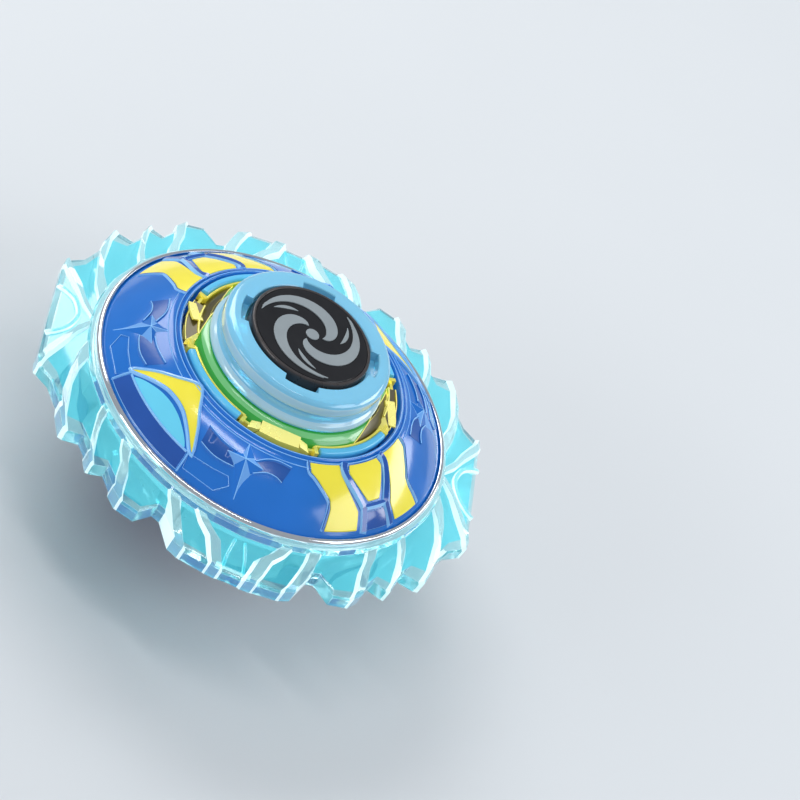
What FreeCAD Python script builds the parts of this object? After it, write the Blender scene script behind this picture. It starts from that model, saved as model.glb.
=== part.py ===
import FreeCAD, Part
import math
import os

# Light-up spinning top, in millimetres. +Z is the spin axis, and the origin is the centre of
# the tip's flat foot, the point the top stands on. The top repeats itself every half turn.

Vec = FreeCAD.Vector
UP = Vec(0, 0, 1)
ORIGIN = Vec(0, 0, 0)
CUT_OVER = 1.0            # how far a cutting tool runs past the solid it cuts

# Tip
FOOT_R = 4.5              # flat ring that the top stands on
TIP_R = 5.0
TIP_TOP = 3.4
TIP_HUB_R = 2.2
TIP_HUB_TOP = 4.3
SHAFT_R = 1.0
SHAFT_BOTTOM = 0.9
SHAFT_TOP = 12.2
BUSH_CLEARANCE = 0.04     # radial running clearance of the shaft in the bush
BUSH_R = 2.6
BUSH_BOTTOM = 4.5
BUSH_TOP = 10.6
CLIP_Z = (10.9, 11.4)
CLIP_R = 2.5

# Base housing
BASE_BOTTOM = 3.9
BASE_FLANGE_R = 23.6
BASE_FLANGE_TOP = 14.4
BASE_WALL_R = (16.6, 18.3)
EAR_SPACE_R = 14.0        # hollow in which the core's ears turn
LOCK_Z = (15.0, 17.4)
LOCK_R = 11.4
RIB_COUNT = 8
RIB_X = (7.0, 17.0)
RIB_HALF_Y = 0.6
GROOVE_R = (18.0, 18.7)
GROOVE_TOP = 12.2

# Weight ring
WEIGHT_R = (18.35, 24.4)
WEIGHT_SCALLOPS = 8
SCALLOP_R = 2.4

# Blade ring
FLANGE_R = 16.0
BLADE_Z = (17.4, 19.4, 21.4)   # underside, top of inner flange, top of rim
DOME_R = 25.1                  # outer radius of the dome, and the blade ring's recess
BLADE_ENVELOPE_R = 34.0
BLADE_EDGE_Z = (19.2, 20.0)
# Quarter of the blade outline: degrees from the middle of a tooth cluster, and radius
BLADE_QUARTER = (
    (0, 32.0), (12, 33.0), (19.5, 33.5), (22, 31.0), (30, 31.2), (38, 33.3), (40.5, 29.6),
    (48.5, 32.7), (51, 29.4), (59.5, 33.1), (65, 32.5), (67.2, 28.8), (68.8, 28.8), (77, 33.0),
    (86, 33.1), (90, 33.0),
)

# Dome ring
DOME_EDGE = (25.1, 22.0)  # radius and height of the dome's outer edge
DOME_MID = (21.4, 25.5)
DOME_TOP = (16.9, 27.9)
DOME_BORE_R = 16.15
DOME_WALL = 1.6
BEAD_TOP = 28.25
SKIRT_R = 17.1
SKIRT_BOTTOM = 22.5
DOME_FLANGE_R = 18.6
DOME_FLANGE_TOP = 20.9
CAVITY_R = 23.5
POST_R = 2.0
POST_TOP = 24.8
INLAY_DEPTH = 0.5
INLAY_PROUD = 0.15

BEZEL_R = (DOME_R, 25.85)
BEZEL_TOP = 22.45

# Long screws through base, weight ring and blade ring into the dome's posts
SCREW_CIRCLE_R = 21.2
SCREW_ANGLES = (45, 135, 225, 315)
SCREW_R = 1.0
SCREW_HEAD_R = 1.9
SCREW_HEAD_Z = (12.6, 13.8)
SCREW_TOP = 23.6

# Core: battery cover with bayonet ears, housing, cells and circuit
NECK_R = (9.5, 10.9)
NECK_BOTTOM = 13.4
EAR_R = 13.3
EAR_TOP = 14.8
EAR_ANGLES = (0, 180)
EAR_HALF = 18             # degrees each side
NOTCH_HALF = 21
TWIST_TO_RELEASE = 60     # degrees from locked to the ledge's notches
COVER_R = 14.8
COVER_Z = (17.5, 18.7)
COVER_FLOOR = 16.6
CORE_R = 15.6
CORE_FLOOR_TOP = 24.0
CORE_RIM = 26.4
BOARD_POCKET_R = 12.9
CELL_COUNT = 3
CELL_R = 3.95
CELL_CIRCLE_R = 6.4
CELL_Z = (19.0, 22.6)
CONTACT_THICK = 0.3
COVER_SCREW_CIRCLE_R = 12.9
BOARD_R = 12.6
BOARD_TOP = 25.0
LED_R = 1.5
LED_CIRCLE_R = 8.6
LED_ANGLES = (45, 135, 225, 315)
LED_BODY = 1.9

# Centrifugal light switch on the board, sliding out along +X
SWITCH_X = (3.5, 10.2)
SWITCH_HALF_Y = 2.2
SWITCH_WALL = 0.6
SWITCH_TOP = 27.8
WEIGHT_X = (4.2, 7.2)
WEIGHT_TRAVEL = 1.2
SWITCH_GAP = 0.1          # left between the weight and the contacts at full travel
WEIGHT_HALF_Y = 1.4
WEIGHT_Z = (25.7, 27.7)
SPRING_STEPS = 6
SPRING_HALF_Y = 0.55
SPRING_THICK = 0.14

# Core trim
FRAME_R = (11.8, 15.7)
FRAME_Z = (26.4, 27.2)
LUG_R = (13.8, 15.75)
LUG_HALF = 15
LUG_TOP = 28.3
EAR_BLOCK_HALF = 20.5     # half width of a lug with its end blocks
RIM_LINE_R = (14.3, 14.6)
RIM_LINE_TOP = 28.2
SADDLE_ANGLES = (165.5, 345.5)
# The frame's saddles widen outward through the collar: degrees from their middle, and radius
SADDLE = ((-3, 12.2), (3, 12.2), (28, 14.4), (14, 14.9), (0, 15.1), (-14, 14.9), (-28, 14.4))
COLLAR_CUT = 0.2          # degrees left between a block and the collar
ARC_R = (14.7, 15.8)
ARC_HALF = 23
ARC_TOP = 28.6
LUG_ANGLES = (0, 90, 180, 270)
ARC_ANGLES = (45, 135, 225, 315)
COLLAR_R = (12.45, 14.2)
COLLAR_TOP = 29.0
BARREL_BORE = 10.9
BARREL_TOP = 31.2
BARREL_LIP_R = 12.7
CAP_R = 12.1
CAP_TOP = 33.7
CAP_FLOOR = 32.0
CAP_BORE = 9.05
CAP_BAND = (31.7, 33.0)   # straight band that a launcher's cup goes over
LAUNCH_NOTCH_R = 10.1
LAUNCH_NOTCH_HALF = 14.5
LAUNCH_NOTCH_FLOOR = 32.3
DISC_R = 8.7
DISC_TOP = 34.1
DISC_CHAMFER = 0.25
RELIEF_TOP = 34.35

# Inlays of the dome: degrees from the middle of the group, and radius
TILE_GROUPS = (135, 315)
CRESCENT_GROUPS = (45, 225)
MIDDLE_TILE = ((-8, 17.0), (8, 17.0), (9.5, 18.2), (2.6, 21.7), (-2.6, 21.7), (-9.5, 18.2))
SIDE_TILE = ((13.5, 16.9), (28, 17.2), (19, 21.4), (20, 24.3), (8.5, 24.3), (7.5, 22.6), (13.5, 18.4))
CRESCENT = ((0, 16.9), (9, 18.4), (18.5, 22.2), (9, 20.6), (0, 19.9), (-9, 20.6), (-18.5, 22.2), (-9, 18.4))
LENS = ((0, 20.7), (8, 21.3), (14.5, 22.5), (0, 22.6), (-14.5, 22.5), (-8, 21.3))

pieces = {}


def add(name, shape):
    pieces[name] = shape


def at(radius, degrees, z=0.0):
    turn = math.radians(degrees)
    return Vec(radius * math.cos(turn), radius * math.sin(turn), z)


def revolve(points):
    """A solid of revolution from a closed outline of (radius, height) points."""
    wire = Part.makePolygon([Vec(r, 0, z) for r, z in points] + [Vec(points[0][0], 0, points[0][1])])
    return Part.Face(wire).revolve(ORIGIN, UP, 360)


def disc(radius, low, high, centre=ORIGIN):
    return Part.makeCylinder(radius, high - low, Vec(centre.x, centre.y, low))


def ring(inner, outer, low, high):
    return disc(outer, low, high).cut(disc(inner, low - CUT_OVER, high + CUT_OVER))


def sector(inner, outer, low, high, middle, half):
    """A piece of a ring, reaching half degrees to each side of middle."""
    start = middle - half
    solid = Part.makeCylinder(outer, high - low, Vec(0, 0, low), UP, 2 * half)
    solid.rotate(ORIGIN, UP, start)
    return solid.cut(disc(inner, low - CUT_OVER, high + CUT_OVER))


def prism(points, low, high):
    """Extrude an outline given as (degrees, radius) points."""
    corners = [at(r, a, low) for a, r in points]
    return Part.Face(Part.makePolygon(corners + corners[:1])).extrude(Vec(0, 0, high - low))


def box(x, y, z):
    return Part.makeBox(x[1] - x[0], y[1] - y[0], z[1] - z[0], Vec(x[0], y[0], z[0]))


def turned(shape, degrees):
    copy = shape.copy()
    copy.rotate(ORIGIN, UP, degrees)
    return copy


def joined(shapes):
    shapes = list(shapes)
    return shapes[0].multiFuse(shapes[1:]).removeSplitter()


def group(shapes):
    return Part.makeCompound(list(shapes))


def make_tip():
    shaft = disc(SHAFT_R, SHAFT_BOTTOM, SHAFT_TOP)
    tip = revolve([
        (0, 0), (FOOT_R, 0), (TIP_R, 0.9), (TIP_R, 2.4), (TIP_R - 1.0, TIP_TOP),
        (TIP_HUB_R, TIP_TOP), (TIP_HUB_R, TIP_HUB_TOP), (0, TIP_HUB_TOP),
    ])
    add("tip", tip.cut(shaft))
    add("tip_shaft", shaft)
    clip = ring(SHAFT_R, CLIP_R, *CLIP_Z)
    mouth = box((0, CLIP_R + CUT_OVER), (-0.7, 0.7), (CLIP_Z[0] - CUT_OVER, CLIP_Z[1] + CUT_OVER))
    add("shaft_clip", clip.cut(mouth))


def screw_holes(radius, low, high):
    return group(disc(radius, low, high, at(SCREW_CIRCLE_R, a)) for a in SCREW_ANGLES)


def base_ribs():
    """Ribs that run down the underside of the base's cone."""
    layer = revolve([
        (6.6, BASE_BOTTOM), (9.4, 4.5), (13.2, 8.5), (16.3, 10.9), (17.2, 11.8), (13.0, 11.0), (9.0, 7.0),
        (6.6, 5.0),
    ])
    rib = box(RIB_X, (-RIB_HALF_Y, RIB_HALF_Y), (BASE_BOTTOM, LOCK_Z[0]))
    return [turned(rib, i * 360 / RIB_COUNT).common(layer) for i in range(RIB_COUNT)]


def make_base():
    body = revolve([
        (BUSH_R, BASE_BOTTOM), (6.2, BASE_BOTTOM), (9.0, 5.0), (12.8, 9.0), (16.0, 11.4),
        (BASE_FLANGE_R, 12.6), (BASE_FLANGE_R, BASE_FLANGE_TOP), (BASE_WALL_R[1], BASE_FLANGE_TOP),
        (BASE_WALL_R[1], LOCK_Z[1]), (BASE_WALL_R[0], LOCK_Z[1]), (BASE_WALL_R[0], LOCK_Z[0]),
        (EAR_SPACE_R, LOCK_Z[0]), (EAR_SPACE_R, 12.6), (11.4, 10.6), (8.2, 7.0), (5.0, 6.2),
        (5.0, 10.4), (BUSH_R, 10.4),
    ])
    body = body.fuse(base_ribs()).cut(ring(*GROOVE_R, BASE_BOTTOM, GROOVE_TOP))
    bores = screw_holes(SCREW_R + 0.1, SCREW_HEAD_Z[1] - CUT_OVER, BASE_FLANGE_TOP + CUT_OVER)
    heads = screw_holes(SCREW_HEAD_R + 0.1, BASE_BOTTOM, SCREW_HEAD_Z[1])
    add("base_housing", body.cut(bores).cut(heads))
    add("tip_bush", ring(SHAFT_R + BUSH_CLEARANCE, BUSH_R, BUSH_BOTTOM, BUSH_TOP))


def make_lock_ring():
    ledge = ring(LOCK_R, BASE_WALL_R[0], *LOCK_Z)
    for ear in EAR_ANGLES:
        notch = sector(LOCK_R - CUT_OVER, EAR_R + 0.3, LOCK_Z[0] - CUT_OVER, LOCK_Z[1] + CUT_OVER,
                       ear + TWIST_TO_RELEASE, NOTCH_HALF)
        ledge = ledge.cut(notch)
    add("lock_ring", ledge)


def make_weight_ring():
    body = ring(WEIGHT_R[0], WEIGHT_R[1], BASE_FLANGE_TOP, BLADE_Z[0])
    for i in range(WEIGHT_SCALLOPS):
        centre = at(WEIGHT_R[1] + 1.2, (i + 0.5) * 360 / WEIGHT_SCALLOPS)
        body = body.cut(disc(SCALLOP_R, BASE_FLANGE_TOP - CUT_OVER, BLADE_Z[0] + CUT_OVER, centre))
    bores = screw_holes(SCREW_R + 0.1, BASE_FLANGE_TOP - CUT_OVER, BLADE_Z[0] + CUT_OVER)
    add("weight_ring", body.cut(bores))


def blade_outline():
    """The quarter outline mirrored about the cluster, then repeated after half a turn."""
    half = [(-a, r) for a, r in reversed(BLADE_QUARTER)] + list(BLADE_QUARTER[1:-1])
    return half + [(a + 180, r) for a, r in half]


def make_blade_ring():
    low, step, high = BLADE_Z
    envelope = revolve([
        (FLANGE_R, low), (29.0, low), (BLADE_ENVELOPE_R, BLADE_EDGE_Z[0]),
        (BLADE_ENVELOPE_R, BLADE_EDGE_Z[1]), (30.6, high), (DOME_R, high), (DOME_R, step), (FLANGE_R, step),
    ])
    blades = envelope.common(prism(blade_outline(), low - CUT_OVER, high + CUT_OVER))
    add("blade_ring", blades.cut(screw_holes(SCREW_R + 0.1, low - CUT_OVER, step + CUT_OVER)))


def dome_arc(offset):
    """Outer edge, middle and top of the dome's section, moved out along its own radius."""
    (ax, az), (bx, bz), (cx, cz) = DOME_EDGE, DOME_MID, DOME_TOP
    d = 2 * (ax * (bz - cz) + bx * (cz - az) + cx * (az - bz))
    squares = (ax**2 + az**2, bx**2 + bz**2, cx**2 + cz**2)
    ux = (squares[0] * (bz - cz) + squares[1] * (cz - az) + squares[2] * (az - bz)) / d
    uz = (squares[0] * (cx - bx) + squares[1] * (ax - cx) + squares[2] * (bx - ax)) / d
    points = []
    for x, z in (DOME_EDGE, DOME_MID, DOME_TOP):
        reach = math.hypot(x - ux, z - uz)
        scale = (reach + offset) / reach
        points.append(Vec(ux + (x - ux) * scale, 0, uz + (z - uz) * scale))
    return points


def section_face(edges):
    return Part.Face(Part.Wire(edges)).revolve(ORIGIN, UP, 360)


def line(*corners):
    return [Part.LineSegment(a, b).toShape() for a, b in zip(corners, corners[1:])]


def dome_layer(below, above):
    """The layer between two offsets of the dome's outer surface."""
    low = dome_arc(below)
    high = dome_arc(above)
    edges = [Part.Arc(*high).toShape(), *line(high[2], low[2]), Part.Arc(low[2], low[1], low[0]).toShape()]
    return section_face(edges + line(low[0], high[0]))


def inlay(outline, groups, layer, mirrored=False):
    """Solids cut from the dome's surface layer by an outline, one per group."""
    outlines = [outline]
    if mirrored:
        outlines.append([(-a, r) for a, r in outline])
    solids = []
    for middle in groups:
        for points in outlines:
            tool = prism([(a + middle, r) for a, r in points], BLADE_Z[2], CAP_TOP)
            solids += layer.common(tool).Solids
    return solids


def make_dome():
    outer = dome_arc(0)
    inner = dome_arc(-DOME_WALL)
    edges = [Part.Arc(*outer).toShape()]
    edges += line(outer[2], Vec(16.5, 0, BEAD_TOP), Vec(DOME_BORE_R, 0, BEAD_TOP - 0.25),
                  Vec(DOME_BORE_R, 0, SKIRT_BOTTOM), Vec(SKIRT_R, 0, SKIRT_BOTTOM),
                  Vec(SKIRT_R, 0, inner[2].z), inner[2])
    edges.append(Part.Arc(inner[2], inner[1], inner[0]).toShape())
    edges += line(inner[0], Vec(CAVITY_R, 0, DOME_FLANGE_TOP), Vec(DOME_FLANGE_R, 0, DOME_FLANGE_TOP),
                  Vec(DOME_FLANGE_R, 0, BLADE_Z[1]), Vec(DOME_R, 0, BLADE_Z[1]), outer[0])
    dome = section_face(edges)
    filled = section_face([Part.Arc(*outer).toShape()] + line(
        outer[2], Vec(0, 0, outer[2].z), Vec(0, 0, BLADE_Z[1]), Vec(DOME_R, 0, BLADE_Z[1]), outer[0]))
    posts = [disc(POST_R, BLADE_Z[1], POST_TOP, at(SCREW_CIRCLE_R, a)).common(filled) for a in SCREW_ANGLES]
    dome = dome.fuse(posts).cut(screw_holes(SCREW_R, BLADE_Z[1] - CUT_OVER, SCREW_TOP))
    layer = dome_layer(-INLAY_DEPTH, INLAY_PROUD)
    tiles = inlay(MIDDLE_TILE, TILE_GROUPS, layer) + inlay(SIDE_TILE, TILE_GROUPS, layer, True)
    crescents = inlay(CRESCENT, CRESCENT_GROUPS, layer)
    lenses = inlay(LENS, CRESCENT_GROUPS, dome_layer(-INLAY_DEPTH, 0))
    add("dome_ring", dome.cut(group(tiles + crescents + lenses)))
    add("yellow_tiles", group(tiles))
    add("crescent_inserts", group(crescents))
    add("crescent_lenses", group(lenses))
    add("chrome_bezel", ring(BEZEL_R[0], BEZEL_R[1], BLADE_Z[2], BEZEL_TOP))


def make_assembly_screws():
    screws = []
    for angle in SCREW_ANGLES:
        place = at(SCREW_CIRCLE_R, angle)
        head = disc(SCREW_HEAD_R, *SCREW_HEAD_Z, place)
        slot = box((-2, 2), (-0.25, 0.25), (SCREW_HEAD_Z[0] - CUT_OVER, SCREW_HEAD_Z[0] + 0.6))
        slot.translate(place)
        screws.append(head.fuse(disc(SCREW_R, SCREW_HEAD_Z[0] + 0.6, SCREW_TOP, place)).cut(slot))
    add("assembly_screws", group(screws))


def cell_centres():
    return [at(CELL_CIRCLE_R, 90 + i * 360 / CELL_COUNT) for i in range(CELL_COUNT)]


def cover_screw_centres():
    return [at(COVER_SCREW_CIRCLE_R, 30 + i * 120) for i in range(3)]


def make_battery_cover():
    cover = revolve([
        (0, COVER_FLOOR), (NECK_R[0], COVER_FLOOR), (NECK_R[0], NECK_BOTTOM), (NECK_R[1], NECK_BOTTOM),
        (NECK_R[1], COVER_Z[0]), (COVER_R, COVER_Z[0]), (COVER_R, COVER_Z[1]), (0, COVER_Z[1]),
    ])
    for angle in EAR_ANGLES:
        cover = cover.fuse(sector(NECK_R[1] - 0.5, EAR_R, NECK_BOTTOM, EAR_TOP, angle, EAR_HALF))
    screws = []
    for place in cover_screw_centres():
        head = disc(1.4, COVER_Z[0] + 0.1, COVER_Z[0] + 0.8, place)
        screws.append(head.fuse(disc(0.8, COVER_Z[0] + 0.8, 22.6, place)))
        cover = cover.cut(disc(1.4, COVER_Z[0] - CUT_OVER, COVER_Z[0] + 0.8, place))
        cover = cover.cut(disc(0.9, COVER_Z[0], COVER_Z[1] + CUT_OVER, place))
    add("battery_cover", cover.removeSplitter())
    add("cover_screws", group(screws))


def make_core_housing():
    housing = disc(CORE_R, COVER_Z[1], CORE_RIM)
    housing = housing.cut(disc(BOARD_POCKET_R, CORE_FLOOR_TOP, CORE_RIM + CUT_OVER))
    bottom = COVER_Z[1] - CUT_OVER
    pockets = [disc(CELL_R + 0.1, bottom, CELL_Z[1] + CONTACT_THICK, c) for c in cell_centres()]
    pockets.append(disc(4.2, bottom, COVER_Z[1] + CONTACT_THICK))
    pins = [disc(0.5, CELL_Z[1], CORE_FLOOR_TOP + CUT_OVER, c) for c in cell_centres()]
    housing = housing.cut(group(pockets)).cut(group(pins))
    add("core_housing", housing.cut(pieces["cover_screws"]))


def make_cells():
    low, high = CELL_Z
    cells = []
    upper = []
    for centre in cell_centres():
        cells.append(disc(CELL_R, low, high - 0.3, centre).fuse(disc(CELL_R - 0.6, low, high, centre)))
        pad = disc(3.2, high, high + CONTACT_THICK, centre)
        upper.append(pad.fuse(disc(0.4, high, CORE_FLOOR_TOP, centre)))
    add("battery_cells", group(cells))
    add("upper_contacts", group(upper))
    lower = [disc(3.4, low - CONTACT_THICK, low, c) for c in cell_centres()]
    lower.append(disc(4.0, low - CONTACT_THICK, low))
    add("lower_contacts", joined(lower))


def make_board():
    board = disc(BOARD_R, CORE_FLOOR_TOP, BOARD_TOP)
    key = box((BOARD_R - 0.8, BOARD_R + 1), (-1.2, 1.2), (CORE_FLOOR_TOP - CUT_OVER, BOARD_TOP + CUT_OVER))
    add("circuit_board", board.cut(turned(key, 90)))
    chip = box((-7.6, -3.6), (-2.4, 2.4), (BOARD_TOP + 0.15, BOARD_TOP + 1.5))
    legs = []
    for i in range(4):
        y = -1.8 + 1.2 * i
        legs.append(box((-8.3, -7.5), (y - 0.2, y + 0.2), (BOARD_TOP, BOARD_TOP + 0.5)))
        legs.append(box((-3.7, -2.9), (y - 0.2, y + 0.2), (BOARD_TOP, BOARD_TOP + 0.5)))
    add("control_chip", joined([chip] + legs))
    lamps = []
    for angle in LED_ANGLES:
        place = at(LED_CIRCLE_R, angle)
        dome = Part.makeSphere(LED_R, Vec(place.x, place.y, BOARD_TOP + LED_BODY))
        lamps.append(joined([disc(LED_R + 0.2, BOARD_TOP, BOARD_TOP + 0.5, place),
                             disc(LED_R, BOARD_TOP, BOARD_TOP + LED_BODY, place), dome]))
    add("leds", group(lamps))


def make_switch():
    width = (-SWITCH_HALF_Y, SWITCH_HALF_Y)
    tray = box(SWITCH_X, width, (BOARD_TOP, SWITCH_TOP))
    hollow_x = (SWITCH_X[0] + SWITCH_WALL, SWITCH_X[1] - SWITCH_WALL)
    hollow_y = SWITCH_HALF_Y - SWITCH_WALL
    floor = BOARD_TOP + 0.5
    tray = tray.cut(box(hollow_x, (-hollow_y, hollow_y), (floor, SWITCH_TOP + CUT_OVER)))
    add("switch_housing", tray)
    add("switch_weight", box(WEIGHT_X, (-WEIGHT_HALF_Y, WEIGHT_HALF_Y), WEIGHT_Z))
    post_x = (WEIGHT_X[1] + WEIGHT_TRAVEL + SWITCH_GAP, hollow_x[1])
    posts = [box(post_x, y, (floor, WEIGHT_Z[1] - 0.4)) for y in ((-1.5, -0.95), (0.95, 1.5))]
    add("switch_contacts", group(posts))
    add("switch_spring", zigzag(WEIGHT_X[1], hollow_x[1], WEIGHT_Z[0] + 0.3, WEIGHT_Z[1] - 0.3))


def zigzag(start, end, low, high):
    """A leaf spring folded back and forth between two faces."""
    pitch = (end - start) / SPRING_STEPS
    centre = []
    for i in range(SPRING_STEPS + 1):
        side = SPRING_HALF_Y if i % 2 else -SPRING_HALF_Y
        centre.append((start + pitch * i, side))
    front = [Vec(x, y + SPRING_THICK, low) for x, y in centre]
    back = [Vec(x, y - SPRING_THICK, low) for x, y in reversed(centre)]
    return Part.Face(Part.makePolygon(front + back + front[:1])).extrude(Vec(0, 0, high - low))


def saddles():
    outlines = [[(a + middle, r) for a, r in SADDLE] for middle in SADDLE_ANGLES]
    return group(prism(outline, FRAME_Z[1], COLLAR_TOP) for outline in outlines)


def collar_ring():
    """The ring that the green collar and the frame's two saddles share."""
    inner, outer = COLLAR_R
    return revolve([
        (inner, FRAME_Z[1]), (outer, FRAME_Z[1]), (outer, 27.7), (13.6, 28.5), (12.9, COLLAR_TOP),
        (inner, COLLAR_TOP),
    ])


def make_gold_frame():
    solids = [ring(FRAME_R[0], FRAME_R[1], *FRAME_Z)]
    for angle in LUG_ANGLES:
        solids.append(sector(LUG_R[0], LUG_R[1], FRAME_Z[1], LUG_TOP, angle, LUG_HALF))
        for side in (-1, 1):
            middle = angle + side * (EAR_BLOCK_HALF - 1.5)
            solids.append(sector(15.0, LUG_R[1], FRAME_Z[1], LUG_TOP - 0.2, middle, 1.5))
            solids.append(sector(14.6, LUG_R[1], FRAME_Z[1], LUG_TOP - 0.5, angle + side * 16.5, 2.0))
    solids.append(collar_ring().common(saddles()))
    for angle in ARC_ANGLES:
        solids.append(sector(RIM_LINE_R[0], RIM_LINE_R[1], FRAME_Z[1], RIM_LINE_TOP, angle, 45 - LUG_HALF))
    add("gold_frame", joined(solids))
    arcs = [sector(ARC_R[0], ARC_R[1], FRAME_Z[1], ARC_TOP, a, ARC_HALF) for a in ARC_ANGLES]
    add("arc_segments", group(arcs))


def make_core_trim():
    inner, outer = COLLAR_R
    collar = collar_ring().cut(saddles())
    for angle in LUG_ANGLES:
        lug_space = sector(LUG_R[0], outer + CUT_OVER, FRAME_Z[1] - CUT_OVER, COLLAR_TOP + CUT_OVER,
                           angle, LUG_HALF + COLLAR_CUT)
        collar = collar.cut(lug_space)
    add("green_collar", collar)
    add("core_barrel", revolve([
        (BARREL_BORE, FRAME_Z[0]), (FRAME_R[0], FRAME_Z[0]), (FRAME_R[0], FRAME_Z[1]), (inner, FRAME_Z[1]),
        (inner, COLLAR_TOP), (BARREL_LIP_R, COLLAR_TOP), (BARREL_LIP_R, 29.5), (12.3, 30.0), (11.8, 30.4),
        (11.8, 30.8), (11.7, BARREL_TOP), (BARREL_BORE, BARREL_TOP),
    ]))


def make_cap():
    cap = revolve([
        (0, BARREL_TOP), (11.7, BARREL_TOP), (CAP_R, CAP_BAND[0]), (CAP_R, CAP_BAND[1]), (11.3, CAP_TOP),
        (CAP_BORE, CAP_TOP), (CAP_BORE, CAP_FLOOR), (0, CAP_FLOOR),
    ])
    for angle in LUG_ANGLES:
        cap = cap.cut(sector(CAP_BORE - CUT_OVER, LAUNCH_NOTCH_R, LAUNCH_NOTCH_FLOOR, CAP_TOP + CUT_OVER,
                             angle, LAUNCH_NOTCH_HALF))
    add("cap_ring", cap)
    add("emblem_disc", revolve([
        (0, CAP_FLOOR), (DISC_R, CAP_FLOOR), (DISC_R, DISC_TOP - DISC_CHAMFER),
        (DISC_R - DISC_CHAMFER, DISC_TOP), (0, DISC_TOP),
    ]))


def make_emblem_relief():
    """Three swirling blades round a small disc, raised on the emblem."""
    solids = [disc(1.3, DISC_TOP, RELIEF_TOP)]
    outline = ((0, 2.2), (28, 3.6), (48, 5.6), (60, 7.6), (76, 7.4), (70, 5.2), (52, 3.4), (30, 2.2))
    for turn in range(3):
        solids.append(prism([(a + 120 * turn, r) for a, r in outline], DISC_TOP, RELIEF_TOP))
    add("emblem_relief", group(solids))


def main():
    make_tip()
    make_base()
    make_lock_ring()
    make_weight_ring()
    make_blade_ring()
    make_dome()
    make_assembly_screws()
    make_battery_cover()
    make_core_housing()
    make_cells()
    make_board()
    make_switch()
    make_gold_frame()
    make_core_trim()
    make_cap()
    make_emblem_relief()
    os.makedirs("parts", exist_ok=True)
    for name, shape in pieces.items():
        shape.exportStep("parts/" + name + ".step")
        print(name, len(shape.Solids), "solids", round(shape.Volume, 2), "mm3", shape.isValid())


main()
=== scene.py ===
import math
import bmesh
import bpy
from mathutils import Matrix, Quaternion, Vector


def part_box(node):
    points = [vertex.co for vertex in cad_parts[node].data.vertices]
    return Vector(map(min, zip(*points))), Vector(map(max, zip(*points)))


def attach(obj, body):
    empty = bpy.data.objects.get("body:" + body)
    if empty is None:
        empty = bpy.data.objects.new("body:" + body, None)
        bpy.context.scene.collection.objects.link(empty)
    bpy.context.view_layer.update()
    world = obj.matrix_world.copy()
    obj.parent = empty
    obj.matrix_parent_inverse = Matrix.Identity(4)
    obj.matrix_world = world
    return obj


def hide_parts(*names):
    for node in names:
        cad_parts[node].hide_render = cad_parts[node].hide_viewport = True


# A light-up spinning top. Shapes are written in millimetres, as (degrees, radius, height)
# round the spin axis, and turned into metres when a mesh is made. The top repeats itself
# every half turn.

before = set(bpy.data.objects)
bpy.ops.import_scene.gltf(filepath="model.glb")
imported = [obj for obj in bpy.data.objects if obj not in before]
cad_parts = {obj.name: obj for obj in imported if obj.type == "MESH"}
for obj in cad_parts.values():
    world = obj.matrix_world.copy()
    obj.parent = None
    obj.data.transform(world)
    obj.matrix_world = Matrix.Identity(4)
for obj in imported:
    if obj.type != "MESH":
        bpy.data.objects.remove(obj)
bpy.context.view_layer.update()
MM = 0.001

# ---------------- measures from the frame


def low(node):
    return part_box(node)[0] / MM


def high(node):
    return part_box(node)[1] / MM


FLOOR_SIZE = 4.0
DOME_R = 25.1
DOME_EDGE = (DOME_R, 22.0)
DOME_MID = (21.4, 25.5)
DOME_TOP = (16.9, 27.9)
DOME_BORE_R = 16.15
DOME_SKIN = 1.5                # thickness of the dome's shell
DOME_FLOOR = (19.45, 20.95)    # underside and top of the dome's floor
DOME_SIDES = 192               # segments of a turned piece on the ring
CORE_SIDES = 160               # segments of a turned piece on the core
TILE_GROUPS = (135, 315)
CRESCENT_GROUPS = (45, 225)
LUG_ANGLES = (0, 90, 180, 270)
ARC_ANGLES = (45, 135, 225, 315)
SHELF_Z = high("core_housing").z + 0.8      # top of the gold frame's plate
CAP_TOP = high("cap_ring").z
DISC_TOP = high("emblem_disc").z
RELIEF_TOP = high("emblem_relief").z
DISC_R = high("emblem_disc").x
BLADE_LOW = low("blade_ring").z
BLADE_HIGH = high("blade_ring").z

# ---------------- materials


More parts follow.
